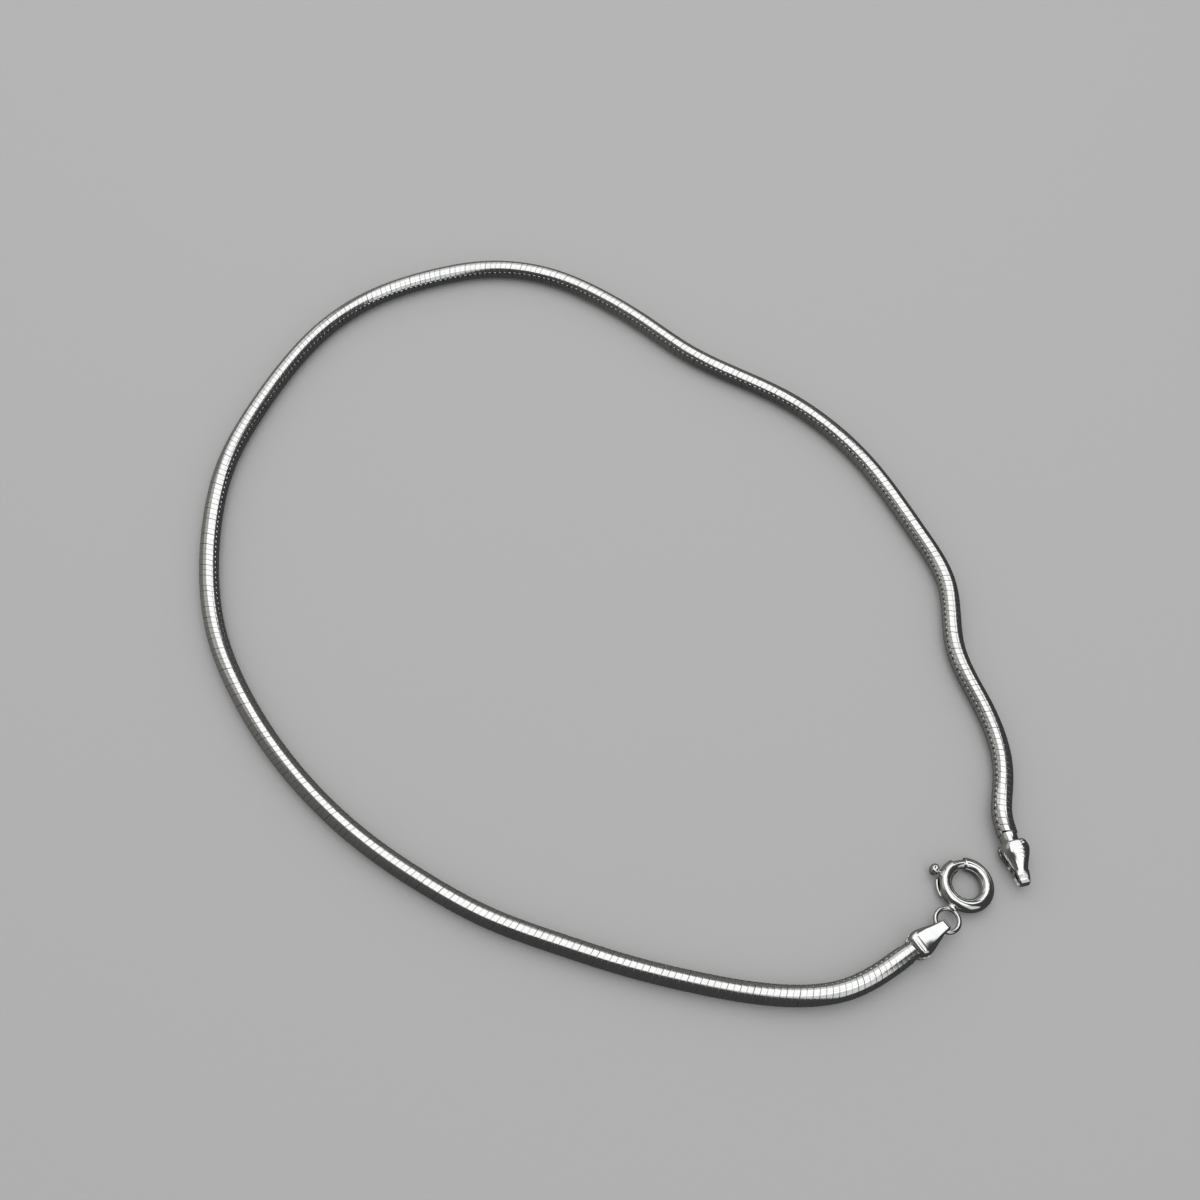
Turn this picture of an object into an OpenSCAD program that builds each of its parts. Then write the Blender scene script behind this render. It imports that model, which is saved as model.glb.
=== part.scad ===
// A round snake chain necklace, lying open on a table.
// Its two ends are held in folded spoon caps. One cap carries a spring ring clasp.
// Millimetres. The origin is on the table, below the middle of the necklace.
// +Z is up, +X runs along the long way of the open loop.

/* [Chain] */
// Outside diameter of the chain
chain_d = 3.1; // [2.6:0.1:3.4]
// Diameter of the plain collar that closes each end of the chain
collar_d = 2.7; // [2:0.1:2.8]
// Length of the collar that shows in front of the cap
collar_len = 1.2; // [0.6:0.1:2]
// Length of the collar that sits inside the cap
collar_in = 1.4; // [0.8:0.1:2]
// Rings of the swept chain
chain_rings = 58; // [46:1:74]

/* [End caps] */
// Length from the mouth to the end of the fold
cap_len = 6.8; // [6.2:0.1:8]
// Width of the bowl
cap_w = 4; // [3.9:0.05:4.4]
// Height over the two flat leaves at the bowl
cap_h = 4; // [3.8:0.05:4.2]
// Radius that rounds the edges between leaf and flank
cap_round = 2.45; // [2.3:0.05:2.6]
// Distance from the mouth to the widest place
bowl_at = 1.4; // [1.2:0.05:1.5]
// Where the flat of a leaf starts to slope down to the fold
slope_at = 2.3; // [2:0.1:2.8]
// Width of the folded end
tip_w = 1.5; // [1.2:0.05:1.6]
// Height of the folded end
fold_h = 1.95; // [1.8:0.05:2.2]
// Thickness of the sheet
cap_sheet = 0.36; // [0.3:0.02:0.42]
// Slit where the two halves of the bowl meet
seam_gap = 1.1; // [0.8:0.1:1.4]
// Where the seam starts to open
open_at = 2.6; // [2.2:0.1:3.2]
// Where the flanks end and only the two leaves are left
leaves_at = 4.2; // [4:0.1:5]
// How far the cap at the clasp is rolled about its own length
head_roll = 3; // [0:1:12]
// How far the cap at the plain end is rolled about its own length
tail_roll = 9; // [0:1:20]

/* [Clasp] */
// Outside diameter of the spring ring
ring_d = 8.5; // [8:0.1:9]
// Diameter of the ring's hollow tube
tube_d = 2.05; // [1.8:0.05:2.2]
// Wall of the tube
tube_wall = 0.28; // [0.22:0.02:0.32]
// Gap in the tube that the bolt closes, as an angle
gap_angle = 31; // [26:1:34]
// Middle of the gap, counted from the side opposite the eye
gap_at = 46.5; // [42:0.5:48]
// Outside diameter of the eye
eye_d = 4.3; // [4.1:0.1:4.6]
// Thickness of the eye's wire
eye_wire = 0.7; // [0.6:0.05:0.75]
// Space between the ring and the eye that the solder fills
eye_space = 0.15; // [0.1:0.01:0.3]
// Diameter of the drop of solder
solder_d = 1.2; // [1.1:0.05:1.4]
// Direction in which the clasp lies on the table, from the eye to the ring
clasp_turn = 63; // [50:1:75]
// How far the eye hangs to the left of the cap's own line
eye_aside = 0.45; // [0:0.05:0.5]

/* [Bolt] */
// How far the bolt's tip reaches into the far end of the tube, as an angle
bolt_reach = 5; // [3:1:8]
// Place of the thumb stud, counted as the gap is
stud_at = 97; // [92:1:102]
// Length of the bolt behind the stud, as an angle
bolt_tail = 8; // [5:1:12]
// Thickness of the stud's stem
stem_d = 0.6; // [0.5:0.05:0.7]
// Diameter of the bead on the stem
bead_d = 1.4; // [1.2:0.05:1.7]

/* [Fits] */
// Play between the collar and the mouth of a cap, on the radius
mouth_play = 0.06; // [0.04:0.01:0.1]
// Play between the eye's wire and the fold that it hangs in
fold_play = 0.08; // [0.05:0.01:0.12]
// Play between the bolt and the tube's bore, on the radius
bolt_play = 0.08; // [0.05:0.01:0.1]
// Play on each side of the stem in its slot
slot_play = 0.1; // [0.06:0.01:0.15]
// Spare angle at each end of the stem's slot
slot_spare = 2; // [1:0.5:4]
// Space between the bead and the tube
bead_play = 0.1; // [0.06:0.01:0.2]

/* [Hidden] */
$fn = 48;
// Step over which the course's heading is taken, and a reach past every outline
step = 0.01;
past = 20;

// Course of the chain on the table, from the clasp end to the plain end.
// A smooth curve follows these points and passes through the first and the last.
ROUTE = [
    [49.5, -53.5], [41.5, -60.5], [30.5, -62.0], [20.0, -61.5], [9.5, -60.5], [-1.0, -58.5],
    [-11.5, -56.5], [-21.5, -52.5], [-31.0, -48.0], [-40.0, -42.0], [-48.0, -35.0], [-55.0, -27.0],
    [-61.0, -18.0], [-64.5, -8.0], [-66.5, 2.5], [-67.0, 13.0], [-64.5, 23.5], [-61.0, 34.0],
    [-56.5, 43.5], [-49.5, 51.5], [-40.5, 57.0], [-30.5, 61.5], [-19.5, 62.0], [-9.5, 58.5],
    [0.0, 53.5], [8.5, 47.5], [19.0, 44.0], [28.5, 40.5], [38.0, 33.5], [44.5, 26.0],
    [50.5, 17.0], [56.5, 8.5], [55.5, -3.5], [61.5, -12.5], [64.5, -21.0], [64.0, -27.0],
    [63.5, -30.5], [64.5, -33.5]
];
last = len(ROUTE) - 1;

// Heights of the chain's axis: on the table, and where each cap lifts it
lying_z = chain_d / 2;
function rolled(a) = cap_h / 2 * cos(a) + sqrt(pow(cap_round, 2) - pow(cap_h / 2, 2)) * sin(a);
head_z = rolled(head_roll);
tail_z = rolled(tail_roll);
function route_z(i) = i < 2 ? head_z : i > last - 2 ? tail_z : lying_z;
function route_point(i) = [ROUTE[i][0], ROUTE[i][1], route_z(i)];

// Past each end the course goes on as a mirror image, so that it starts on the end point
function post(i) =
    i < 0 ? 2 * route_point(0) - route_point(1)
    : i > last ? 2 * route_point(last) - route_point(last - 1)
    : route_point(i);

// Uniform cubic B-spline: t runs from 0 to 1 between posts i and i + 1
function spline(i, t) = (
    post(i - 1) * pow(1 - t, 3)
    + post(i) * (3 * pow(t, 3) - 6 * t * t + 4)
    + post(i + 1) * (-3 * pow(t, 3) + 3 * t * t + 3 * t + 1)
    + post(i + 2) * pow(t, 3)) / 6;
function course(u) = let (i = min(floor(u), last - 1)) spline(i, u - i);
function unit(v) = v / norm(v);
function heading(u) = unit(course(min(u + step, last)) - course(max(u - step, 0)));

// Angles on the table in which the two ends leave the chain
function angle_of(v) = atan2(v[1], v[0]);
head_out = angle_of(ROUTE[0] - ROUTE[1]);
tail_out = angle_of(ROUTE[last] - ROUTE[last - 1]);
function along(a, d) = [d * cos(a), d * sin(a), 0];
head_mouth = route_point(0) + along(head_out, collar_len);
tail_mouth = route_point(last) + along(tail_out, collar_len);

// The chain is a tube of rings, each [centre, heading, radius to its corners].
// The chain's flats touch its diameter, the collar's corners stay inside its own.
SIDES = 8;
chain_corner = chain_d / 2 / cos(180 / SIDES);
collar_corner = collar_d / 2;
rings = concat(
    [[head_mouth + along(head_out, collar_in), heading(0), collar_corner],
     [route_point(0), heading(0), collar_corner]],
    [for (k = [0:chain_rings - 1]) let (u = last * k / (chain_rings - 1))
        [course(u), heading(u), chain_corner]],
    [[route_point(last), heading(last), collar_corner],
     [tail_mouth + along(tail_out, collar_in), heading(last), collar_corner]]);
function corner(r, k) = let (
    side = unit(cross([0, 0, 1], r[1])),
    up = cross(r[1], side),
    a = (k + 0.5) * 360 / SIDES) r[0] + r[2] * (cos(a) * side + sin(a) * up);

module sweep(rings) {
    n = len(rings);
    points = [for (r = rings) for (k = [0:SIDES - 1]) corner(r, k)];
    start = [for (k = [SIDES - 1:-1:0]) k];
    end = [for (k = [0:SIDES - 1]) (n - 1) * SIDES + k];
    walls = [for (j = [0:n - 2]) for (k = [0:SIDES - 1]) let (
        a = j * SIDES + k,
        b = j * SIDES + (k + 1) % SIDES) [a, b, b + SIDES, a + SIDES]];
    polyhedron(points, concat([start], walls, [end]), convexity = 10);
}

// End caps are drawn with the mouth at zero and the fold at the far end of X.
// Inset draws the same outline for the hollow inside the sheet.
fold_r = fold_h / 2;
fold_x = cap_len - fold_r;
mouth_r = collar_d / 2 + mouth_play;
// Radius that rounds the edges at the fold, just clear of its corners
tip_round = norm([tip_w / 2, fold_r]) + cap_sheet / 8;

// A straight flank cuts a round a little, at this share of its radius
cut = 0.97;

module cap_side(inset) {
    h = cap_h / 2 - inset;
    r = fold_r - inset;
    a = atan2(h, slope_at - fold_x) - acos(cut * r / norm([slope_at - fold_x, h]));
    touch = cut * r * [cos(a), sin(a)] + [fold_x, 0];
    translate([fold_x, 0]) circle(r);
    polygon([[inset, -h], [slope_at, -h], [touch[0], -touch[1]], touch, [slope_at, h], [inset, h]]);
}

module cap_plan(inset) {
    r = cap_w / 2 - inset;
    w = tip_w / 2 - inset;
    reach = cap_len - bowl_at;
    a = atan2(w, reach) + acos(cut * r / norm([reach, w]));
    touch = cut * r * [cos(a), sin(a)] + [bowl_at, 0];
    translate([bowl_at, 0]) circle(r);
    polygon([[touch[0], -touch[1]], [cap_len, -w], [cap_len, w], touch]);
}

module cap_turning(inset) {
    r1 = cap_round - inset;
    r2 = tip_round - inset;
    a = acos(cut * (r1 - r2) / (cap_len - bowl_at));
    rotate([0, 90, 0]) rotate_extrude() intersection() {
        union() {
            translate([0, bowl_at]) circle(r1);
            polygon([[0, bowl_at], cut * r1 * [sin(a), cos(a)] + [0, bowl_at],
                cut * r2 * [sin(a), cos(a)] + [0, cap_len], [r2, cap_len + r2], [0, cap_len + r2]]);
        }
        translate([0, -past]) square([past, 2 * past]);
    }
}

module across(width) rotate([90, 0, 0]) linear_extrude(width, center = true) children();

module cap_form(inset) {
    intersection() {
        across(past) cap_side(inset);
        linear_extrude(past, center = true) cap_plan(inset);
        cap_turning(inset);
    }
}

// The halves of the bowl meet at a slit, which opens into the space between the leaves
module cap_opening() {
    half = seam_gap / 2;
    translate([-past, -past, -half]) cube([past + open_at, 2 * past, seam_gap]);
    intersection() {
        across(past) cap_side(cap_sheet);
        across(past) polygon([[0, -half], [open_at, -half], [leaves_at, -cap_h], [past, -cap_h],
            [past, cap_h], [leaves_at, cap_h], [open_at, half], [0, half]]);
    }
}

module cap() {
    difference() {
        cap_form(0);
        cap_form(cap_sheet);
        cap_opening();
        translate([-past + bowl_at, 0, 0]) rotate([0, 90, 0]) cylinder(h = past, r = mouth_r);
    }
}

// The clasp is drawn flat about the ring's middle, with the eye at the far end of -X
tube_r = tube_d / 2;
ring_r = ring_d / 2 - tube_r;
bore_r = tube_r - tube_wall;
eye_r = (eye_d - eye_wire) / 2;
eye_at = ring_d / 2 + eye_space + eye_d / 2;
gap_from = gap_at - gap_angle / 2;
gap_to = gap_at + gap_angle / 2;

// The fold of the cap hangs in the eye, close to its wire
eye_from_mouth = cap_len - cap_sheet
    + sqrt(pow(eye_r - eye_wire / 2 - fold_play, 2) - pow(tip_w / 2 + eye_aside, 2));
// The ring leans on its far side, and the cap's fold lifts the eye
lifted_at = eye_at + eye_r * cos(clasp_turn - head_out);
clasp_tilt = asin((head_z - tube_r) / (ring_r + lifted_at));
clasp_middle = [head_mouth[0], head_mouth[1], tube_r + ring_r * sin(clasp_tilt)]
    + along(head_out, eye_from_mouth)
    + along(head_out + 90, eye_aside)
    + along(clasp_turn, eye_at * cos(clasp_tilt));
module at_clasp() translate(clasp_middle) rotate([0, clasp_tilt, clasp_turn]) children();

// Part of a round bar bent about Z, from one angle over another
module bent_bar(radius, bend, from, over) {
    rotate([0, 0, from]) rotate_extrude(angle = over) translate([bend, 0]) circle(radius);
}

stem_half = asin(stem_d / ring_d);
bolt_travel = gap_angle + bolt_reach;
slot_from = stud_at - stem_half - slot_spare;
slot_over = bolt_travel + 2 * (stem_half + slot_spare);
slot_w = stem_d + 2 * slot_play;

module ring_with_eye() {
    difference() {
        union() {
            bent_bar(tube_r, ring_r, gap_to, 360 - gap_angle);
            translate([-eye_at, 0, 0]) bent_bar(eye_wire / 2, eye_r, 0, 360);
            translate([-(ring_d + eye_space) / 2, 0, 0]) sphere(d = solder_d);
        }
        bent_bar(bore_r, ring_r, 0, 360);
        rotate([0, 0, slot_from]) rotate_extrude(angle = slot_over)
            translate([ring_r + bore_r / 2, -slot_w / 2]) square([tube_d, slot_w]);
    }
}

bolt_r = bore_r - bolt_play;
bolt_from = gap_from - bolt_reach;
bead_at = ring_d / 2 + bead_play + bead_d / 2;

module bolt_with_stud() {
    bent_bar(bolt_r, ring_r, bolt_from, stud_at + bolt_tail - bolt_from);
    rotate([0, 0, stud_at]) {
        translate([ring_r, 0, 0]) rotate([0, 90, 0]) cylinder(h = bead_at - ring_r, d = stem_d);
        translate([bead_at, 0, 0]) sphere(d = bead_d);
    }
}

module chain() {
    color("silver") sweep(rings);
}

module clasp_end_cap() {
    color("gainsboro") translate(head_mouth) rotate([-head_roll, 0, head_out]) cap();
}

module tail_end_cap() {
    color("gainsboro") translate(tail_mouth) rotate([-tail_roll, 0, tail_out]) cap();
}

module clasp_ring() {
    color("lightgray") at_clasp() ring_with_eye();
}

module clasp_bolt() {
    color("darkgray") at_clasp() bolt_with_stud();
}

chain();
clasp_end_cap();
tail_end_cap();
clasp_ring();
clasp_bolt();
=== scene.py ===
# %% [markdown]
# # A snake chain necklace with a spring ring clasp
#
# The necklace lies open on a table. A round snake chain runs in one loose loop from a folded
# cap that carries a spring ring clasp to a folded cap with nothing on it. The construction comes
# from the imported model. This script gives it what the eye looks for: about 400 separate links,
# polished silver with the marks of use, and the soft light of a room.

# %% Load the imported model
import math

import bmesh
import bpy
import numpy as np
from mathutils import Matrix, Vector


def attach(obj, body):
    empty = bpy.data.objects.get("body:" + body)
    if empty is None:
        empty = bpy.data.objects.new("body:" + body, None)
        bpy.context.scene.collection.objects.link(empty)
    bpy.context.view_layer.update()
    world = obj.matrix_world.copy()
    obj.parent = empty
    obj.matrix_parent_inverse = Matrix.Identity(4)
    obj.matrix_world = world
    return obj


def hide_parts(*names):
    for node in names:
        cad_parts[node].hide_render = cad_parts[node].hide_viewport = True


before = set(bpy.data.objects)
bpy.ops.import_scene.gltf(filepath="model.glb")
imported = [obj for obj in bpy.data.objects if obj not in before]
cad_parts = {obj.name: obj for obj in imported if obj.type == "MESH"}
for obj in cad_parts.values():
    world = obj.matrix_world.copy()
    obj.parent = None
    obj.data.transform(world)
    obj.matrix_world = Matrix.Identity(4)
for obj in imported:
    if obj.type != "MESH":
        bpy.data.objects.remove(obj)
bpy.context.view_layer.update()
NECKLACE, BOLT = "necklace", "bolt"
MM = 0.001
print("nodes:", sorted(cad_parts))

# %% [markdown]
# ## The camera
#
# The photograph looks down at the table from a little above sixty degrees, with the camera
# turned slightly about its own line of sight. A camera is easiest to place by its three axes:
# to the right, up, and backwards along the line of sight. Writing them into a matrix avoids
# every doubt about the order of rotations.

# %% Camera at the photograph's angle
ELEVATION, ROLL = math.radians(63.78), math.radians(7.65)
AWAY, LENS, SENSOR = 0.218, 39.99, 36.0
look_at = Vector((-0.0015, -0.00225, 0.0))

right = Vector((1, 0, 0))
upward = Vector((0, math.sin(ELEVATION), math.cos(ELEVATION)))
back = Vector((0, -math.cos(ELEVATION), math.sin(ELEVATION)))
axis_x = right * math.cos(ROLL) + upward * math.sin(ROLL)
axis_y = upward * math.cos(ROLL) - right * math.sin(ROLL)

camera = bpy.data.objects.new("camera", bpy.data.cameras.new("camera"))
bpy.context.scene.collection.objects.link(camera)
camera.data.lens, camera.data.sensor_width = LENS, SENSOR
camera.data.clip_start, camera.data.clip_end = 0.01, 20.0
placed = Matrix((axis_x, axis_y, back)).transposed().to_4x4()
placed.translation = look_at + back * AWAY
camera.matrix_world = placed
bpy.context.scene.camera = camera
print("camera at (mm):", [round(x / MM) for x in camera.location])

# %% [markdown]
# ## Light
#
# Polished silver shows its surroundings and little else. In the photograph one broad, near
# white source hangs above the table, a little to the left, and the rest of the room is dim.
# That gives each round piece one white stripe with crisp edges between two dark bands, and a
# slightly paler edge. Weaker lights stand at the far side, on the left and at the near
# right, seen as thin lines on the rims. Here each of them is a soft panel. A pale world lights
# the table evenly from all sides, and the metal doesn't mirror it.

# %% Lights and room
SKY_LIGHT, WINDOW_LIGHT, WALL_LIGHT = (0.97, 0.985, 1.0), (0.96, 0.98, 1.0), (1.0, 0.99, 0.97)
PALE = (0.50, 0.50, 0.495)


def towards(azimuth, from_zenith):
    """A direction from its angle on the table, counted from +X, and its angle from straight up."""
    a, z = math.radians(azimuth), math.radians(from_zenith)
    return Vector((math.sin(z) * math.cos(a), math.sin(z) * math.sin(a), math.cos(z)))


def panel_light(name, azimuth, from_zenith, distance, across, along, radiance, colour):
    """A rectangular area light facing the necklace. Radiance is what a mirror would show.
    Along is its size in the direction of the azimuth, across the other one."""
    data = bpy.data.lights.new(name, "AREA")
    data.shape, data.size, data.size_y = "RECTANGLE", across, along
    data.energy = radiance * math.pi * across * along
    data.color = colour
    lamp = bpy.data.objects.new(name, data)
    bpy.context.scene.collection.objects.link(lamp)
    z = towards(azimuth, from_zenith)
    x = Vector((-math.sin(math.radians(azimuth)), math.cos(math.radians(azimuth)), 0))
    lamp_place = Matrix((x, z.cross(x), z)).transposed().to_4x4()
    lamp_place.translation = z * distance
    lamp.matrix_world = lamp_place
    print(name, "power in W:", round(data.energy, 2))


panel_light("overhead_panel", 108, 13, 0.60, 0.56, 0.745, 1.02, SKY_LIGHT)
panel_light("far_right_panel", 51, 45, 0.75, 0.26, 0.27, 1.08, WINDOW_LIGHT)
panel_light("far_panel", 98, 58, 0.75, 0.40, 0.36, 0.50, WINDOW_LIGHT)
panel_light("far_left_panel", 134, 62, 0.75, 0.26, 0.36, 0.55, WINDOW_LIGHT)
panel_light("left_panel", 168, 52, 0.75, 0.45, 0.50, 0.24, WALL_LIGHT)
panel_light("near_panel", 315, 43, 0.75, 0.37, 0.74, 0.60, WINDOW_LIGHT)

room = bpy.data.worlds.new("pale_room")
bpy.context.scene.world = room
room.use_nodes = True
room.node_tree.nodes["Background"].inputs["Color"].default_value = (*PALE, 1)
room.cycles_visibility.glossy = False
bpy.context.scene.view_settings.view_transform = "Standard"

# %% [markdown]
# ## Writing materials as sums
#
# A material is a small calculation that runs at every point of a surface. Laid out as nodes
# it soon becomes hard to read, so the calculation is written as ordinary Python. `Value` holds
# the output of a node, and `+` and `*` on it add the matching Math node. Every other node
# comes from `Finish.node`: its type, its settings, then what goes into its sockets. A mix of
# two colours is asked for so often that it has a short way of its own.

# %% A value in a material, and the material itself
# Where a Mix node takes its two colours in, and where it gives the colour out
MIX_FIRST, MIX_SECOND, MIX_COLOUR = 6, 7, 2


class Value:
    """An output socket. Sums on it add Math nodes to its material."""

    def __init__(self, finish, socket):
        self.finish, self.socket = finish, socket

    def math(self, operation, first, second):
        return self.finish.node("ShaderNodeMath", {"operation": operation}, first, second)

    def __add__(self, other):
        return self.math("ADD", self, other)

    def __radd__(self, other):
        return self.math("ADD", other, self)

    def __mul__(self, other):
        return self.math("MULTIPLY", self, other)

    def __rmul__(self, other):
        return self.math("MULTIPLY", other, self)


class Finish:
    """A material that is built by adding nodes."""

    def __init__(self, name):
        self.material = bpy.data.materials.new(name)
        self.material.use_nodes = True
        self.tree = self.material.node_tree
        self.shader = self.tree.nodes["Principled BSDF"]

    def feed(self, socket, value):
        if isinstance(value, Value):
            self.tree.links.new(value.socket, socket)
        elif socket.type == "RGBA" and len(value) == 3:
            socket.default_value = (*value, 1.0)
        else:
            socket.default_value = value

    def node(self, kind, settings, *values, out=0, **named):
        made = self.tree.nodes.new(kind)
        for key, setting in settings.items():
            if key == "stops":
                for stop, (position, shade) in zip(made.color_ramp.elements, setting):
                    stop.position, stop.color = position, (shade, shade, shade, 1)
            else:
                setattr(made, key, setting)
        for socket, value in zip(made.inputs, values):
            self.feed(socket, value)
        for key, value in named.items():
            self.feed(made.inputs[key.replace("_", " ")], value)
        return Value(self, made.outputs[out])

    def mixed(self, share, first, second):
        """A colour that goes from the first to the second as the share goes from 0 to 1."""
        colour = self.node("ShaderNodeMix", {"data_type": "RGBA"}, share, out=MIX_COLOUR)
        self.feed(colour.socket.node.inputs[MIX_FIRST], first)
        self.feed(colour.socket.node.inputs[MIX_SECOND], second)
        return colour

    def surface(self, **sockets):
        for key, value in sockets.items():
            self.feed(self.shader.inputs[key.replace("_", " ")], value)
        return self.material


print("materials are written as sums")

# %% [markdown]
# ## What the metal mirrors
#
# In a plain pale room silver would look like white plastic. Photographers therefore hang dark
# cloths round the table, just out of the picture, and the metal mirrors those instead. Here
# a large globe does that work: only mirrored rays see it. It is dim on the right and at the
# front, and paler on the far left, where the wall is nearer to the window.

# %% Dark cloths round the table
CLOTH, WALL, GLOBE_R = (0.043, 0.044, 0.045), (0.15, 0.148, 0.142), 12.0
TOWARDS_WALL, CLOTH_ENDS, WALL_BEGINS = (-0.80, 0.58, 0.10), -0.25, 0.95

cloths = Finish("dark_cloths")
direction = cloths.node("ShaderNodeTexCoord", {}, out="Object")
wallward = cloths.node("ShaderNodeVectorMath", {"operation": "DOT_PRODUCT"},
                       direction, TOWARDS_WALL, out="Value")
paler = cloths.node("ShaderNodeMapRange", {"interpolation_type": "SMOOTHSTEP"},
                    wallward, CLOTH_ENDS, WALL_BEGINS, 0.0, 1.0)
cloths.surface(Base_Color=(0, 0, 0), Roughness=1.0, Specular_IOR_Level=0.0,
               Emission_Color=cloths.mixed(paler, CLOTH, WALL), Emission_Strength=1.0)
globe_mesh = bpy.data.meshes.new("cloths_round_the_table")
globe_shape = bmesh.new()
bmesh.ops.create_uvsphere(globe_shape, u_segments=32, v_segments=16, radius=1.0)
globe_shape.to_mesh(globe_mesh)
globe_mesh.materials.append(cloths.material)
globe = bpy.data.objects.new("cloths_round_the_table", globe_mesh)
globe.scale = (GLOBE_R, GLOBE_R, GLOBE_R)
bpy.context.scene.collection.objects.link(globe)
globe.visible_camera = globe.visible_diffuse = globe.visible_shadow = False
globe.visible_transmission = globe.visible_volume_scatter = False
print("cloths hung")

# %% [markdown]
# ## Polished silver
#
# Silver that is worn stays bright but isn't perfect: rubbing leaves hair-fine scratches, the
# polish follows small dents in the metal, and a grey film of tarnish gathers where nothing
# rubs. The scratches change roughness, the dents are a low bump, and the film darkens the
# colour. All patterns are laid out in millimetres on the piece itself, so that they move with
# it. The links carry a number of their own, `groove`, which is 1 in the gaps between them.
# Deep in those gaps the colour is darkened by tarnish and by painted shade between the links.

# %% The silver of chain and fittings
# The dark colour is tarnish, and deep in the gaps between links it is also painted shade
SILVER, TARNISH_AND_SHADE = (0.915, 0.908, 0.89), (0.30, 0.285, 0.26)
# Height in mm of the scratches and of the finest grain
SCRATCH_HEIGHT, GRAIN_HEIGHT = 0.0012, 0.0006
# Roughness that the film, the scratches, the tarnish with the painted shade and the rubbed edges of a link
# add
FILM_DULLS, SCRATCHES_DULL, TARNISH_AND_SHADE_DULL, EDGES_DULL = 0.05, 0.05, 0.22, 0.26
# Values of groove at which the rubbed edge of a link begins, and at which tarnish and painted shade take
# over
EDGE_FROM, TARNISH_AND_SHADE_FROM = 0.05, 0.4


def silver(name, polish, dents, film, grooves=False):
    """Polish is the roughness of the clean metal, dents the bump in mm, film the share of tarnish."""
    finish = Finish(name)
    place = finish.node("ShaderNodeTexCoord", {}, out="Object")
    in_mm = finish.node("ShaderNodeVectorMath", {"operation": "SCALE"}, place, Scale=1 / MM)
    drawn = finish.node("ShaderNodeMapping", {}, in_mm, Scale=(9.0, 1.1, 5.0), Rotation=(0.2, 0.4, 0.7))
    cloudy = finish.node("ShaderNodeTexNoise", {}, in_mm, Scale=0.55, Detail=3.0, Roughness=0.6)
    hammered = finish.node("ShaderNodeTexNoise", {}, in_mm, Scale=0.9, Detail=1.0, Roughness=0.4)
    scratched = finish.node("ShaderNodeTexNoise", {}, drawn, Scale=1.6, Detail=4.0, Roughness=0.7)
    fine = finish.node("ShaderNodeTexNoise", {}, in_mm, Scale=14.0, Detail=2.0, Roughness=0.5)

    dull = finish.node("ShaderNodeValToRGB", {"stops": ((0.46, 0.0), (0.78, 1.0))}, cloudy)
    worn = finish.node("ShaderNodeValToRGB", {"stops": ((0.55, 0.0), (0.72, 1.0))}, scratched)
    dark, rubbed = dull * film, 0.0
    if grooves:
        # Deep in the gaps between links the colour darkens: tarnish and painted shade
        groove = finish.node("ShaderNodeAttribute", {"attribute_name": "groove"}, out="Fac")
        deep = finish.node("ShaderNodeMapRange", {}, groove, TARNISH_AND_SHADE_FROM, 1.0, 0.0, 1.0)
        dark = finish.node("ShaderNodeMath", {"operation": "MAXIMUM", "use_clamp": True}, dark, deep)
        rubbed = finish.node("ShaderNodeMapRange", {}, groove, EDGE_FROM, TARNISH_AND_SHADE_FROM, 0.0, EDGES_DULL)

    height = hammered * dents + scratched * SCRATCH_HEIGHT + fine * GRAIN_HEIGHT
    bump = finish.node("ShaderNodeBump", {}, Strength=1.0, Distance=MM, Height=height)
    return finish.surface(
        Base_Color=finish.mixed(dark, SILVER, TARNISH_AND_SHADE),
        Metallic=1.0,
        Roughness=polish + dull * FILM_DULLS + worn * SCRATCHES_DULL + dark * TARNISH_AND_SHADE_DULL + rubbed,
        Normal=bump)


chain_silver = silver("chain_silver", 0.12, 0.003, 0.10, grooves=True)
fitting_silver = silver("fitting_silver", 0.08, 0.003, 0.12)
bolt_silver = silver("bolt_silver", 0.12, 0.006, 0.22)
print("silver finishes:", chain_silver.name, fitting_silver.name, bolt_silver.name)

# %% [markdown]
# ## The course of the chain
#
# The chain follows the same points as in the construction, given here in metres. A uniform
# cubic B-spline runs near its points instead of through them, which gives the even, slightly
# stiff bends of a real snake chain. Past both ends a mirrored point makes the curve start
# exactly on the first point and end exactly on the last. The first two and the last two points
# are lifted to the middle of the caps, which are thicker than the chain.

# %% Course, heading and sideways direction
ROUTE = [
    (0.0495, -0.0535), (0.0415, -0.0605), (0.0305, -0.0620), (0.0200, -0.0615),
    (0.0095, -0.0605), (-0.0010, -0.0585), (-0.0115, -0.0565), (-0.0215, -0.0525),
    (-0.0310, -0.0480), (-0.0400, -0.0420), (-0.0480, -0.0350), (-0.0550, -0.0270),
    (-0.0610, -0.0180), (-0.0645, -0.0080), (-0.0665, 0.0025), (-0.0670, 0.0130),
    (-0.0645, 0.0235), (-0.0610, 0.0340), (-0.0565, 0.0435), (-0.0495, 0.0515),
    (-0.0405, 0.0570), (-0.0305, 0.0615), (-0.0195, 0.0620), (-0.0095, 0.0585),
    (0.0000, 0.0535), (0.0085, 0.0475), (0.0190, 0.0440), (0.0285, 0.0405),
    (0.0380, 0.0335), (0.0445, 0.0260), (0.0505, 0.0170), (0.0565, 0.0085),
    (0.0555, -0.0035), (0.0615, -0.0125), (0.0645, -0.0210), (0.0640, -0.0270),
    (0.0635, -0.0305), (0.0645, -0.0335)]
CHAIN_D, COLLAR_D, COLLAR_LEN = 3.1 * MM, 2.7 * MM, 1.2 * MM
CAP_H, CAP_ROUND, HEAD_ROLL, TAIL_ROLL = 4.0 * MM, 2.45 * MM, math.radians(3), math.radians(9)
# Fine steps in which the course is measured, and the part of a step between two posts that is near
FINE_STEPS, NEARBY = 8000, 0.01


def cap_height(roll):
    """Height of a cap's middle when it lies on the rounded edge of its lower half."""
    half = CAP_H / 2
    return half * math.cos(roll) + math.sqrt(CAP_ROUND ** 2 - half ** 2) * math.sin(roll)


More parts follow.
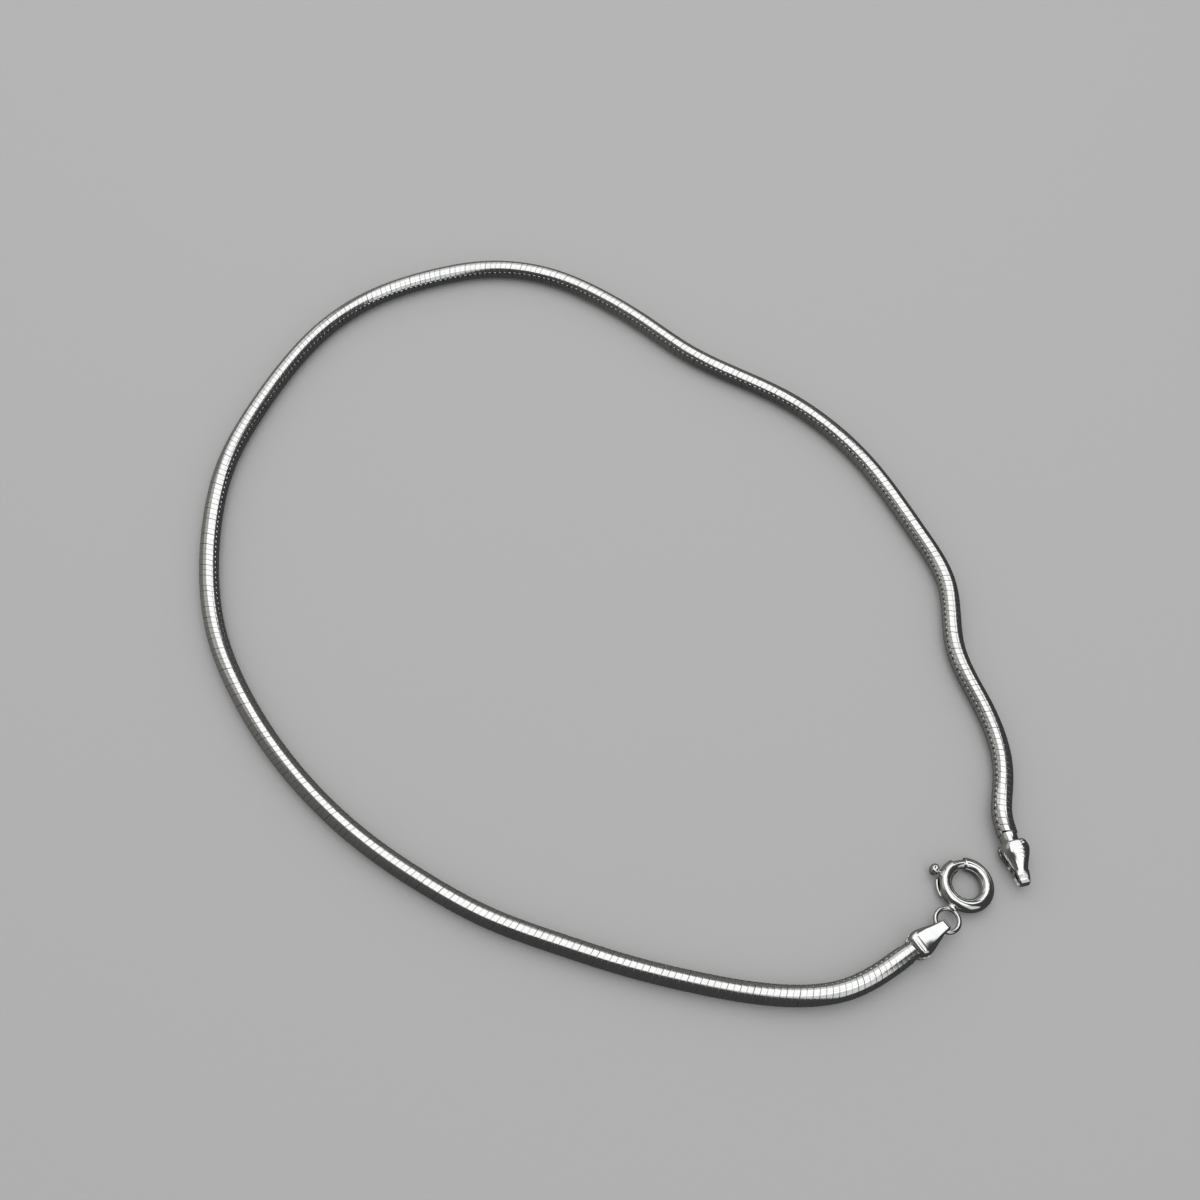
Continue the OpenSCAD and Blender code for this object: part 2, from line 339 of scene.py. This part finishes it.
head_z, tail_z = cap_height(HEAD_ROLL), cap_height(TAIL_ROLL)
heights = [CHAIN_D / 2] * len(ROUTE)
heights[:2], heights[-2:] = [head_z] * 2, [tail_z] * 2
posts = np.array([(x, y, z) for (x, y), z in zip(ROUTE, heights)])
posts = np.vstack([2 * posts[0] - posts[1], posts, 2 * posts[-1] - posts[-2]])
LAST_POST = len(ROUTE) - 1


def course(u):
    """Points of the B-spline at u, where u counts the posts from 0."""
    u = np.clip(u, 0, LAST_POST)
    i = np.minimum(u.astype(int), LAST_POST - 1)
    t = (u - i)[:, None]
    return (posts[i] * (1 - t) ** 3 + posts[i + 1] * (3 * t ** 3 - 6 * t * t + 4)
            + posts[i + 2] * (-3 * t ** 3 + 3 * t * t + 3 * t + 1) + posts[i + 3] * t ** 3) / 6


fine_u = np.linspace(0, LAST_POST, FINE_STEPS)
fine_s = np.concatenate([[0], np.cumsum(np.linalg.norm(np.diff(course(fine_u), axis=0), axis=1))])
CHAIN_LENGTH = fine_s[-1]


def frames_at(s):
    """Centre, heading, sideways and upward directions at distances s along the chain."""
    u = np.interp(s, fine_s, fine_u)
    ahead = course(np.minimum(u + NEARBY, LAST_POST)) - course(np.maximum(u - NEARBY, 0))
    ahead /= np.linalg.norm(ahead, axis=1)[:, None]
    side = np.cross((0, 0, 1), ahead)
    side /= np.linalg.norm(side, axis=1)[:, None]
    return course(u), ahead, side, np.cross(ahead, side)


print("chain length in mm:", round(CHAIN_LENGTH / MM, 1))

# %% [markdown]
# ## The links
#
# A round snake chain is a row of small stamped plates. Each has a bar through the middle and
# two wings that are bent round until they meet those of the other side: one wing covers the
# upper half of the round, the other the lower half. The wings stand slightly askew, so the
# chain shows fine slanting lines, and their rounded tips mesh like teeth along two seams,
# half a link apart. Each plate is threaded through the one before it.
#
# One plate is worked out once as a table of points (how far along the chain, how far from its
# axis, at which angle) and set down again at each place along the course, with a slight
# chance turn, because no hand-closed link sits exactly true. Building all of them as one mesh
# with arrays takes a second, where 400 separate objects would be slow.

# %% One link as a table of points
PITCH, HALF_WIDTH = 0.945 * MM, 0.469 * MM
SLANT, OVERLAP, TIP = 0.46 * MM, 0.14 * MM, 0.50 * MM
# Across a wing: share of its half width, depth below the outer surface in mm, groove
ACROSS = ((-1.0, 0.30, 1.0), (-1.0, 0.055, 0.4), (-0.90, 0.003, 0.0), (0.0, 0.0, 0.0),
          (0.90, 0.003, 0.0), (1.0, 0.055, 0.4), (1.0, 0.30, 1.0))
# From the tip towards the middle of a wing, in shares of the tip's length
FROM_TIP = (0.0, 0.09, 0.34, 1.0)
# Width of the very tip as a share, how far in mm it is tucked under, places between the two tips
TIP_WIDTH, TIP_TUCK, PLACES = 0.12, 0.26, 11
# Half the width of the bar, how deep its ends lie, and the angle at which they meet the wings
BAR_HALF, BAR_DEPTH, BAR_ANGLE = 0.2 * MM, 0.34 * MM, 0.12
BAR_SIDES = ((0, 1, 3, 2), (2, 3, 5, 4), (4, 5, 7, 6), (6, 7, 1, 0), (0, 2, 4, 6), (1, 7, 5, 3))


def wing_table(turn, shift):
    """A wing's points as rows of (along, angle, depth, groove), seven for each place round it."""
    chain_r = CHAIN_D / 2
    wing_end = math.pi / 2 + OVERLAP / chain_r
    ends = [wing_end - t * TIP / chain_r for t in FROM_TIP]
    places = [-a for a in ends[:-1]] + list(np.linspace(-ends[-1], ends[-1], PLACES)) + ends[:-1][::-1]
    rows = []
    for angle in places:
        from_tip = min(1.0, (wing_end - abs(angle)) * chain_r / TIP)
        width = max(TIP_WIDTH, math.sqrt(from_tip))
        tuck = TIP_TUCK * (1 - math.sqrt(1 - (1 - from_tip) ** 2))
        for share, depth, groove in ACROSS:
            rows.append((shift + share * width * HALF_WIDTH, angle + turn, (depth + tuck) * MM, groove))
    return rows


def strip_faces(first, rings, n):
    """Quads between rings of n points, with a lid on both ends."""
    faces = [(first + j * n + k, first + (j + 1) * n + k,
              first + (j + 1) * n + (k + 1) % n, first + j * n + (k + 1) % n)
             for j in range(rings - 1) for k in range(n)]
    lid = list(range(first, first + n))
    return faces + [tuple(lid), tuple(x + (rings - 1) * n for x in reversed(lid))]


upper = wing_table(math.pi / 2, 0.0)
lower = wing_table(-math.pi / 2, PITCH / 2)
bar = [(a * BAR_HALF, angle, BAR_DEPTH, 1.0)
       for angle in (BAR_ANGLE, math.pi - BAR_ANGLE, math.pi + BAR_ANGLE, -BAR_ANGLE) for a in (-1, 1)]
link_rows = np.array(upper + lower + bar)
n_across, n_places = len(ACROSS), len(upper) // len(ACROSS)
bar_at = len(upper) + len(lower)
link_faces = (strip_faces(0, n_places, n_across) + strip_faces(len(upper), n_places, n_across)
              + [tuple(bar_at + k for k in side) for side in BAR_SIDES])
link_triangles = sum(len(f) - 2 for f in link_faces)
print("points and triangles in a link:", len(link_rows), link_triangles)

# %% [markdown]
# The seam's turn was read off the photograph at a few places along the chain. The first link
# stands on the rim of the collar at the clasp. The links are pressed narrower there, and the
# slant of the lines only sets in behind.

# %% All links along the course
# Along the chain in mm, and how far its seam is turned there, in degrees
SEAM_TURNS = ((0, -33), (17, -26), (35, -16), (110, -15), (140, -35), (190, -33), (220, -22),
              (240, -34), (300, -42), (325, -32), (376, -32))
# How far out on the collar the links start, as a share of its length, and how narrow they begin
START_ON_COLLAR, PRESSED = 0.9, 0.13
PRESSED_TO_FULL, STRAIGHT_TO_SLANTED = (-1.1 * MM, 0.9 * MM), (-1 * MM, 3 * MM)
# How much a link gives way to the bend: 0 is rigid and 1 leaves no wedge between links
FOLLOW = 0.92
# Spread of chance in a link's place (mm), seam (degrees), girth (share) and lean (mm, two ways)
CHANCE = (0.006, 0.9, 0.0025, 0.012, 0.012)


def smooth_step(low, high, x):
    """From 0 below low to 1 above high, starting and ending softly."""
    t = np.clip((x - low) / (high - low), 0, 1)
    return t * t * (3 - 2 * t)


def at_distance(s):
    """Frames along the chain, which goes on straight before its first point."""
    centre, ahead, side, up = frames_at(s)
    return centre + ahead * np.minimum(s, 0)[:, None], ahead, side, up


starts = -START_ON_COLLAR * COLLAR_LEN
link_count = round((CHAIN_LENGTH - starts) / PITCH)
step = (CHAIN_LENGTH - starts) / link_count
at = starts + (np.arange(link_count) + 0.5) * step
chance = np.random.default_rng(7).normal(0, 1, (link_count, 5)) * CHANCE
seam = np.radians(np.interp(at / MM, *zip(*SEAM_TURNS)) + chance[:, 1])
askew = SLANT * smooth_step(*STRAIGHT_TO_SLANTED, at)
girth = 1 - PRESSED * (1 - smooth_step(*PRESSED_TO_FULL, at)) + chance[:, 2]

along, angle, depth, groove = (link_rows[:, k][None, :] for k in range(4))
lean = (askew[:, None] * np.cos(angle) + chance[:, 3:4] * MM * np.sin(angle)
        + chance[:, 4:5] * MM * np.cos(angle))
reach = along + lean + chance[:, 0:1] * MM
turned = (angle + seam[:, None]).reshape(-1, 1)
radius = (CHAIN_D / 2 * girth[:, None] - depth).reshape(-1, 1)
centre, ahead, side, up = at_distance((at[:, None] + FOLLOW * reach).ravel())
link_points = (centre + ahead * (1 - FOLLOW) * reach.reshape(-1, 1)
               + side * radius * np.cos(turned) + up * radius * np.sin(turned))
all_faces = [tuple(x + k * len(link_rows) for x in f) for k in range(link_count) for f in link_faces]


def steady_normals(points, faces):
    """Normals at the points, from the four-cornered faces. Wide ones count far more, so that
    flats stay flat."""
    quads = np.array([f for f in faces if len(f) == 4])
    corners = points[quads] / MM
    area = sum(np.cross(corners[:, k] - corners[:, 0], corners[:, k + 1] - corners[:, 0]) for k in (1, 2))
    area = area * (area ** 2).sum(axis=1)[:, None]
    normals = np.zeros((len(points), 3))
    for k in range(4):
        np.add.at(normals, quads[:, k], area)
    length = np.linalg.norm(normals, axis=1)[:, None]
    return normals / np.maximum(length, 1e-30)


def new_piece(name, points, faces, material, body):
    """A mesh object that rides on a body, with the given material."""
    mesh = bpy.data.meshes.new(name)
    mesh.from_pydata([tuple(p) for p in points], [], faces)
    mesh.validate()
    mesh.polygons.foreach_set("use_smooth", [True] * len(mesh.polygons))
    mesh.materials.append(material)
    piece = bpy.data.objects.new(name, mesh)
    bpy.context.scene.collection.objects.link(piece)
    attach(piece, body)
    return piece


links = new_piece("chain_links", link_points, all_faces, chain_silver, NECKLACE)
links.data.normals_split_custom_set_from_vertices(steady_normals(link_points, all_faces))
# groove is 1 deep in the gaps between links, where the silver darkens with tarnish and painted shade
mark = links.data.attributes.new("groove", "FLOAT", "POINT")
mark.data.foreach_set("value", np.tile(link_rows[:, 3], link_count).astype(np.float32))
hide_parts("chain")
print("links:", link_count, "pitch in mm:", round(step / MM, 4), "triangles:", link_count * link_triangles)

# %% [markdown]
# ## The collars
#
# At both ends a short collar holds the last links and sits in the mouth of the cap. A collar is
# turned work, so it is a profile spun about the chain's own direction.

# %% Collars at both ends
# The rounded rim of a collar in mm: along it, and below its outside
COLLAR_RIM = ((0.0, 0.12), (0.05, 0.04), (0.14, 0.0))
# The bore as a share of the radius, what the cap hides of a collar, and how it tapers there
COLLAR_BORE, COLLAR_HIDDEN, TAPER_FROM, TAPER = 0.7, 1.3 * MM, 0.8, 0.01 * MM
# Where a collar begins, outwards from the end of the course, as a share of its length. The links
# reach out over it at the clasp, while at the plain end it begins inside the last one.
COLLAR_AT_CLASP_FROM, COLLAR_AT_PLAIN_END_FROM = 0.55, -0.25


def spun(profile, origin, direction, sides=40):
    """Points and faces of a profile of (along, radius) pairs spun about a direction."""
    d = Vector(direction).normalized()
    u = d.orthogonal().normalized()
    v = d.cross(u)
    points = [Vector(origin) + d * a + (u * math.cos(w) + v * math.sin(w)) * r
              for a, r in profile for w in (2 * math.pi * k / sides for k in range(sides))]
    return points, strip_faces(0, len(profile), sides)


def collar(origin, direction, start):
    r, hidden_end = COLLAR_D / 2, COLLAR_LEN + COLLAR_HIDDEN
    rim = [(start + a * MM, r - below * MM) for a, below in COLLAR_RIM]
    outline = [(start, r * COLLAR_BORE), *rim, (COLLAR_LEN * TAPER_FROM, r),
               (hidden_end, r - TAPER), (hidden_end, r * COLLAR_BORE)]
    return spun(outline, origin, direction)


def flat_heading(a, b):
    return Vector((ROUTE[a][0] - ROUTE[b][0], ROUTE[a][1] - ROUTE[b][1], 0)).normalized()


head_out, tail_out = flat_heading(0, 1), flat_heading(-1, -2)
for name, origin, out, begins in (
        ("collar_at_clasp", (*ROUTE[0], head_z), head_out, COLLAR_AT_CLASP_FROM),
        ("collar_at_plain_end", (*ROUTE[-1], tail_z), tail_out, COLLAR_AT_PLAIN_END_FROM)):
    points, faces = collar(origin, out, begins * COLLAR_LEN)
    new_piece(name, points, faces, fitting_silver, NECKLACE)
    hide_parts("chain")

# %% [markdown]
# ## The folded caps
#
# Each cap is one strip of sheet silver. A spoon is pressed into both of its ends, and the
# strip is folded over in the middle, so that the two spoons close round the collar like a
# clam. The fold is left open as a loop, and in it hangs the eye of the clasp. Between the
# halves stays a slit, which opens towards the fold.
#
# The strip is drawn the way it is made: a line runs along the top from the mouth, round the
# fold and back underneath, and at each place on it a curve runs across the strip. The curve
# is part of a superellipse, a shape between a circle and a square, which gives the pressed
# bowl its slightly domed top and soft shoulders. A Solidify modifier gives the sheet its
# thickness, a Bevel the rubbed rims.

# %% Outlines of a cap in its own frame, in mm, the mouth at zero and the fold at the far end of X
CAP_LEN, CAP_W, BOWL_AT, WAIST = 6.8, 4.0, 1.4, 0.12
TIP_W, FOLD_H, SHEET = 1.5, 1.95, 0.36
CAP_TOP, FOLD_R = CAP_H / MM / 2, FOLD_H / 2
FOLD_X = CAP_LEN - FOLD_R
# A lip rises from a low start, a shallow groove follows, then the slope, which sets in softly
LIP_LEN, LIP_START, GROOVE_DEEP, SLOPE_FROM, SLOPE_SOFT = 0.46, 1.5, 0.024, 0.86, 0.7


def half_width(x):
    """The outline from above: a round bowl, then waisted sides to the fold."""
    if x <= BOWL_AT:
        return math.sqrt((CAP_W / 2) ** 2 - (BOWL_AT - x) ** 2)
    lean = math.asin((CAP_W / 2 - TIP_W / 2) / (CAP_LEN - BOWL_AT))
    leaving = BOWL_AT + CAP_W / 2 * math.sin(lean)
    if x <= leaving:
        return math.sqrt((CAP_W / 2) ** 2 - (x - BOWL_AT) ** 2)
    start = CAP_W / 2 * math.cos(lean)
    straight = start + (TIP_W / 2 - start) * (x - leaving) / (CAP_LEN - leaving)
    waist = WAIST * math.sin(math.pi * (x - leaving) / (CAP_LEN - leaving)) ** 2
    return straight - waist


def half_height(x):
    """The outline from the side: the lip at the mouth, the groove, then the slope to the fold."""
    if x < LIP_LEN:
        return LIP_START + (CAP_TOP - LIP_START) * math.sqrt(1 - ((LIP_LEN - x) / LIP_LEN) ** 2)
    if x < SLOPE_FROM:
        return CAP_TOP - GROOVE_DEEP * math.sin(math.pi * (x - LIP_LEN) / (SLOPE_FROM - LIP_LEN)) ** 2
    run = x - SLOPE_FROM
    steep = (CAP_TOP - FOLD_R) / (FOLD_X - SLOPE_FROM - SLOPE_SOFT / 2)
    return CAP_TOP - steep * (run * run / (2 * SLOPE_SOFT) if run < SLOPE_SOFT else run - SLOPE_SOFT / 2)


print("half width and height in mm at the bowl:", half_width(BOWL_AT), round(half_height(BOWL_AT), 3))

# %% The strip of a cap
# The slit, where it starts to open and where it is open, and what is left of the flank there
SLIT, SLIT_OPENS, FLANK_LEFT = 1.1, (3.2, FOLD_X - 0.5), 0.16
# Where the bowl gives way to the neck, where the neck turns flat, and how flat it ends
BOWL_TO_NECK, NECK_TO_FLAT, FLAT = (1.8, 3.8), (4.4, 5.4), 7.0
# Ribs: their pitch, where they rise and fade along the cap, and where they rise across it
RIB_PITCH, RIB_STRETCH, RIB_SIDE = 0.62, (0.5, 0.8, 2.8, 3.4), (-0.5, 1.2)
# Where the lean of the upper half fades out, and where the turn of the tip sets in
LEAN_FADES, TIP_TURNS = (2.4, 5.4), (2.2, 5.4)
# Places along the leaf, close together on the lip, and the angles at which the fold is drawn
LIP_STATIONS, LEAF_FROM, LEAF_STEP = (0.0, 0.05, 0.12, 0.22, 0.34, LIP_LEN), 0.58, 0.09
FOLD_ANGLES = np.radians(np.linspace(78, -78, 15))


def across_strip(x, dome, neck, n=21):
    """The curve across the upper leaf at x, as (sideways, height) pairs. A dome of 2 would be
    round, 10 almost a box: one for the bowl, one for the neck. The strip is flat at the fold."""
    w, h = half_width(x), half_height(x)
    edge = SLIT / 2 + (h - FLANK_LEFT - SLIT / 2) * smooth_step(*SLIT_OPENS, x)
    power = dome + (neck - dome) * smooth_step(*BOWL_TO_NECK, x)
    power += (FLAT - power) * smooth_step(*NECK_TO_FLAT, x)
    limit = math.acos((edge / h) ** (power / 2))
    return [(w * math.copysign(abs(math.sin(a)) ** (2 / power), a), h * math.cos(a) ** (2 / power))
            for a in np.linspace(-limit, limit, n)]


def ribbed(x, row, rib):
    """A row of the leaf at x with the ribs, which rise to one side only."""
    swell = rib * np.interp(x, RIB_STRETCH, (0, 1, 1, 0)) * math.sin(2 * math.pi * x / RIB_PITCH)
    return [(x, y, z + swell * smooth_step(*RIB_SIDE, y) * z / half_height(x)) for y, z in row]


def tip_turned(point, twist):
    """The point turned about the cap's own line, the more the nearer it is to the tip."""
    x, y, z = point
    a = twist * np.interp(x, TIP_TURNS, (0, 1))
    return x, y * math.cos(a) - z * math.sin(a), y * math.sin(a) + z * math.cos(a)


def strip_rows(dome, neck, rib, twist, lean):
    """The whole strip as rows of points, upper leaf, fold and lower leaf.
    Rib is the height in mm by which the links inside show through the bowl, twist the angle
    by which the tip is turned, and lean the slope to one side of the upper half."""
    stations = [*LIP_STATIONS, *np.arange(LEAF_FROM, FOLD_X, LEAF_STEP), FOLD_X]
    leaf = [ribbed(x, across_strip(x, dome, neck), rib) for x in stations]
    leaning = [[(x, y, z + lean * y * (1 - smooth_step(*LEAN_FADES, x))) for x, y, z in row] for row in leaf]
    narrowing = half_width(CAP_LEN) / half_width(FOLD_X)
    fold = []
    for turn in FOLD_ANGLES:
        share = 1 - abs(turn) / (math.pi / 2)
        fold.append([(FOLD_X + z * math.cos(turn), y * (1 + (narrowing - 1) * share), z * math.sin(turn))
                     for x, y, z in leaf[-1]])
    underside = [[(x, y, -z) for x, y, z in row] for row in reversed(leaf)]
    return [[tip_turned(p, twist) for p in row] for row in leaning + fold + underside]


print("a strip has", len(strip_rows(3.0, 3.0, 0.0, 0.0, 0.0)), "rows")

# %% Both caps, folded round their collars
# Dome of the bowl and of the neck, height of the ribs, turn of the tip, lean of the upper half
CLASP_CAP = (5.0, 7.0, 0.0, math.radians(-4), 0.0)
PLAIN_CAP = (3.2, 2.6, 0.016, math.radians(12), 0.25)
RIM_WORN, RIM_SHARP = 0.07 * MM, math.radians(50)


def cap_place(end, out, height, roll):
    """Where a cap stands: at the end of its collar, turned along the chain, rolled about it."""
    at_mouth = Vector((*ROUTE[end], height)) + out * COLLAR_LEN
    return (Matrix.Translation(at_mouth) @ Matrix.Rotation(math.atan2(out.y, out.x), 4, "Z")
            @ Matrix.Rotation(-roll, 4, "X"))


def folded_cap(name, node, place, shape):
    strip = strip_rows(*shape)
    n = len(strip[0])
    points = [place @ (Vector(p) * MM) for row in strip for p in row]
    faces = [(j * n + k, (j + 1) * n + k, (j + 1) * n + k + 1, j * n + k + 1)
             for j in range(len(strip) - 1) for k in range(n - 1)]
    cap = new_piece(name, points, faces, fitting_silver, NECKLACE)
    sheet = cap.modifiers.new("sheet", "SOLIDIFY")
    sheet.thickness, sheet.offset, sheet.use_even_offset = SHEET * MM, -1, True
    rims = cap.modifiers.new("rubbed rims", "BEVEL")
    rims.width, rims.segments, rims.angle_limit = RIM_WORN, 3, RIM_SHARP
    rims.harden_normals = True
    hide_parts(node)
    return cap


clasp_cap = folded_cap("cap_at_clasp", "clasp_end_cap",
                       cap_place(0, head_out, head_z, HEAD_ROLL), CLASP_CAP)
plain_cap = folded_cap("cap_at_plain_end", "tail_end_cap",
                       cap_place(-1, tail_out, tail_z, TAIL_ROLL), PLAIN_CAP)
print("caps:", clasp_cap.name, plain_cap.name)

# %% [markdown]
# ## Clasp ring and bolt
#
# The hollow ring with its soldered eye, and the bolt with its stud, come from the construction.
# They take the finish, and their sharp edges are rubbed down with a Bevel, as wear does. The
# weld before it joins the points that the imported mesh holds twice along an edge.

# %% Finish on the carried parts
JOIN_WITHIN, EDGE_SHARP = 0.002 * MM, math.radians(42)

for node, material, slot in (
        ("clasp_end_cap", fitting_silver, "fitting_silver"),
        ("tail_end_cap", fitting_silver, "fitting_silver"),
        ("clasp_ring", fitting_silver, "fitting_silver"),
        ("clasp_bolt", bolt_silver, "bolt_silver"),
        ("chain", chain_silver, "chain_silver")):
    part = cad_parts[node]
    part.data.materials.clear()
    part.data.materials.append(material)
for node, worn in (("clasp_ring", 0.045 * MM), ("clasp_bolt", 0.03 * MM)):
    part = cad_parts[node]
    join = part.modifiers.new("join", "WELD")
    join.merge_threshold = JOIN_WITHIN
    rims = part.modifiers.new("rubbed rims", "BEVEL")
    rims.width, rims.segments, rims.angle_limit = worn, 2, EDGE_SHARP
    rims.harden_normals = True
print("carried parts finished")

# %% [markdown]
# ## Small things drawn on the clasp
#
# The clasp leans: its ring rests on the table with the far side, while the fold of the cap
# holds up its eye. In the clasp's own frame the ring lies flat about the origin, in mm, with the
# eye on the negative X axis. The sizes are those of the construction.

# %% The clasp's own frame
RING_D, TUBE_D, EYE_D, EYE_WIRE, EYE_SPACE = 8.5, 2.05, 4.3, 0.7, 0.15
FOLD_PLAY, EYE_ASIDE, CLASP_TURN = 0.08, 0.45, math.radians(63)

ring_r, eye_r = (RING_D - TUBE_D) / 2, (EYE_D - EYE_WIRE) / 2
eye_at = RING_D / 2 + EYE_SPACE + EYE_D / 2
cap_turn = math.atan2(head_out.y, head_out.x)
in_fold, beside_fold = eye_r - EYE_WIRE / 2 - FOLD_PLAY, TIP_W / 2 + EYE_ASIDE
eye_beyond_cap = math.sqrt(in_fold ** 2 - beside_fold ** 2) - SHEET
lifted_at = eye_at + eye_r * math.cos(CLASP_TURN - cap_turn)
clasp_tilt = math.asin((head_z / MM - TUBE_D / 2) / (ring_r + lifted_at))
eye_from_start = Vector((COLLAR_LEN + (CAP_LEN + eye_beyond_cap) * MM, EYE_ASIDE * MM, 0))
eye_middle = Vector((*ROUTE[0], 0)) + Matrix.Rotation(cap_turn, 3, "Z") @ eye_from_start
ring_from_eye = Vector((
    eye_at * math.cos(clasp_tilt) * math.cos(CLASP_TURN),
    eye_at * math.cos(clasp_tilt) * math.sin(CLASP_TURN),
    TUBE_D / 2 + ring_r * math.sin(clasp_tilt)))
clasp_middle = eye_middle + MM * ring_from_eye
at_clasp = (Matrix.Translation(clasp_middle) @ Matrix.Rotation(CLASP_TURN, 4, "Z")
            @ Matrix.Rotation(clasp_tilt, 4, "Y") @ Matrix.Scale(MM, 4))
print("middle of the clasp (mm):", [round(x / MM, 3) for x in clasp_middle])

# %% [markdown]
# The solder that joins eye and ring has run into one smooth drop. The thumb bead is pressed a
# little wider than it is long, with a dent on top where the rivet sits. Under the slot in which
# its stem runs, the wall of the tube is turned outwards into a narrow lip.

# %% Solder drop, thumb bead and slot lip
SOLDER_AT, SOLDER_RADII = Vector((-4.36, 0.18, 0.0)), (0.70, 0.84, 0.64)
STUD_AT, BEAD_AT, BEAD_RADII = math.radians(97), 5.1, (0.75, 0.90, 0.88)
# Depth of the dent, and its width as a share of the bead's
DENT_DEEP, DENT_WIDTH = 0.15, 0.34
# The lip: its angles round the ring, radius and height of its middle, and half its section
LIP_FROM, LIP_TO, LIP_AT, LIP_RADII = math.radians(108), math.radians(149), (4.18, -0.58), (0.30, 0.19)
# How full the lip is at its ends, and how fast it fills out
LIP_END, LIP_FILLS = 0.15, 1.6


def ellipsoid(radii, rings=32, sides=48):
    """Points and faces of an ellipsoid about the origin, with its poles on the X axis."""
    points = [Vector((radii[0] * math.cos(a), radii[1] * math.sin(a) * math.cos(b),
                      radii[2] * math.sin(a) * math.sin(b)))
              for a in (math.pi * (j + 0.5) / rings for j in range(rings))
              for b in (2 * math.pi * k / sides for k in range(sides))]
    return points, [tuple(reversed(f)) for f in strip_faces(0, rings, sides)]


def dented(point):
    """The point of the bead, pushed down by the soft dent on its top."""
    if point.z <= 0:
        return point
    off_middle = math.hypot(point.x / BEAD_RADII[0], point.y / BEAD_RADII[1]) / DENT_WIDTH
    return point - Vector((0, 0, DENT_DEEP * math.exp(-off_middle ** 2)))


def slot_lip(rings=60, sides=16):
    """A narrow lip that follows the ring's outside and thins out towards both ends."""
    points = []
    for share in np.linspace(0, 1, rings):
        a = LIP_FROM + (LIP_TO - LIP_FROM) * share
        full = min(1.0, LIP_END + LIP_FILLS * math.sqrt(math.sin(math.pi * share)))
        for b in (2 * math.pi * k / sides for k in range(sides)):
            r = LIP_AT[0] + LIP_RADII[0] * full * math.cos(b)
            z = LIP_AT[1] + LIP_RADII[1] * full * math.sin(b)
            points.append(Vector((r * math.cos(a), r * math.sin(a), z)))
    return points, strip_faces(0, rings, sides)


points, faces = ellipsoid(SOLDER_RADII)
points = [at_clasp @ (p + SOLDER_AT) for p in points]
solder = new_piece("solder_drop", points, faces, fitting_silver, NECKLACE)

at_stud = at_clasp @ Matrix.Rotation(STUD_AT, 4, "Z") @ Matrix.Translation((BEAD_AT, 0, 0))
points, faces = ellipsoid(BEAD_RADII)
points = [at_stud @ dented(p) for p in points]
bead = new_piece("thumb_bead", points, faces, fitting_silver, BOLT)

points, faces = slot_lip()
points = [at_clasp @ p for p in points]
lip = new_piece("slot_lip", points, faces, fitting_silver, NECKLACE)
print("drawn on the clasp:", solder.name, bead.name, lip.name)

# %% [markdown]
# ## The table top
#
# A plain pale surface with no gloss. It isn't part of the object.

# %% Floor
FLOOR_HALF, GRAIN_SCALE, GRAIN_DEEP = 8, 900.0, 0.0002

paper = Finish("pale_table")
grain = paper.node("ShaderNodeTexNoise", {}, paper.node("ShaderNodeTexCoord", {}, out="Object"),
                   Scale=GRAIN_SCALE, Detail=2.0)
paper.surface(Base_Color=PALE, Roughness=0.95,
              Normal=paper.node("ShaderNodeBump", {}, Strength=0.12, Distance=GRAIN_DEEP, Height=grain))
floor_corners = [(x * FLOOR_HALF, y * FLOOR_HALF, 0) for x, y in ((-1, -1), (1, -1), (1, 1), (-1, 1))]
floor_mesh = bpy.data.meshes.new("table_top")
floor_mesh.from_pydata(floor_corners, [], [(0, 1, 2, 3)])
floor_mesh.materials.append(paper.material)
floor = bpy.data.objects.new("table_top", floor_mesh)
bpy.context.scene.collection.objects.link(floor)
floor.visible_glossy = False
print("table top laid")
